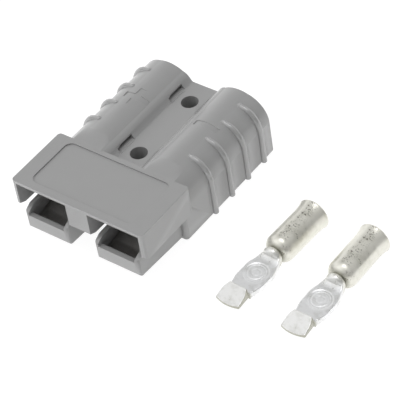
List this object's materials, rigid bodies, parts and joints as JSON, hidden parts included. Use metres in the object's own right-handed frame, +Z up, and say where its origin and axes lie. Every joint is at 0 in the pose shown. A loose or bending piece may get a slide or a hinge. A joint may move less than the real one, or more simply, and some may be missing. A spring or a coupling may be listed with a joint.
{
  "type": "genderless power connector",
  "caption": "Flat moulded connector half with a hood over two open contact trays, ribbed barrels for the wires and loose crimp contacts beside it.",
  "frame": {"origin": "on the flat underside, midway between the two mounting holes", "axes": "+X across the connector to the side of the loose contacts, +Y from the mating face to the wire end, +Z up from the underside"},
  "size_m": [0.0771, 0.0479, 0.0159],
  "materials": {
    "housing_plastic": "fine matte grey polycarbonate",
    "spring_steel": "plain rolled spring steel",
    "plated_copper": "silver-plated copper, lightly tarnished"
  },
  "bodies": {
    "root": {"housing": "housing_plastic", "contact_spring_left": "spring_steel", "contact_spring_right": "spring_steel", "contact_left": "plated_copper", "contact_right": "plated_copper"}
  },
  "joints": []
}
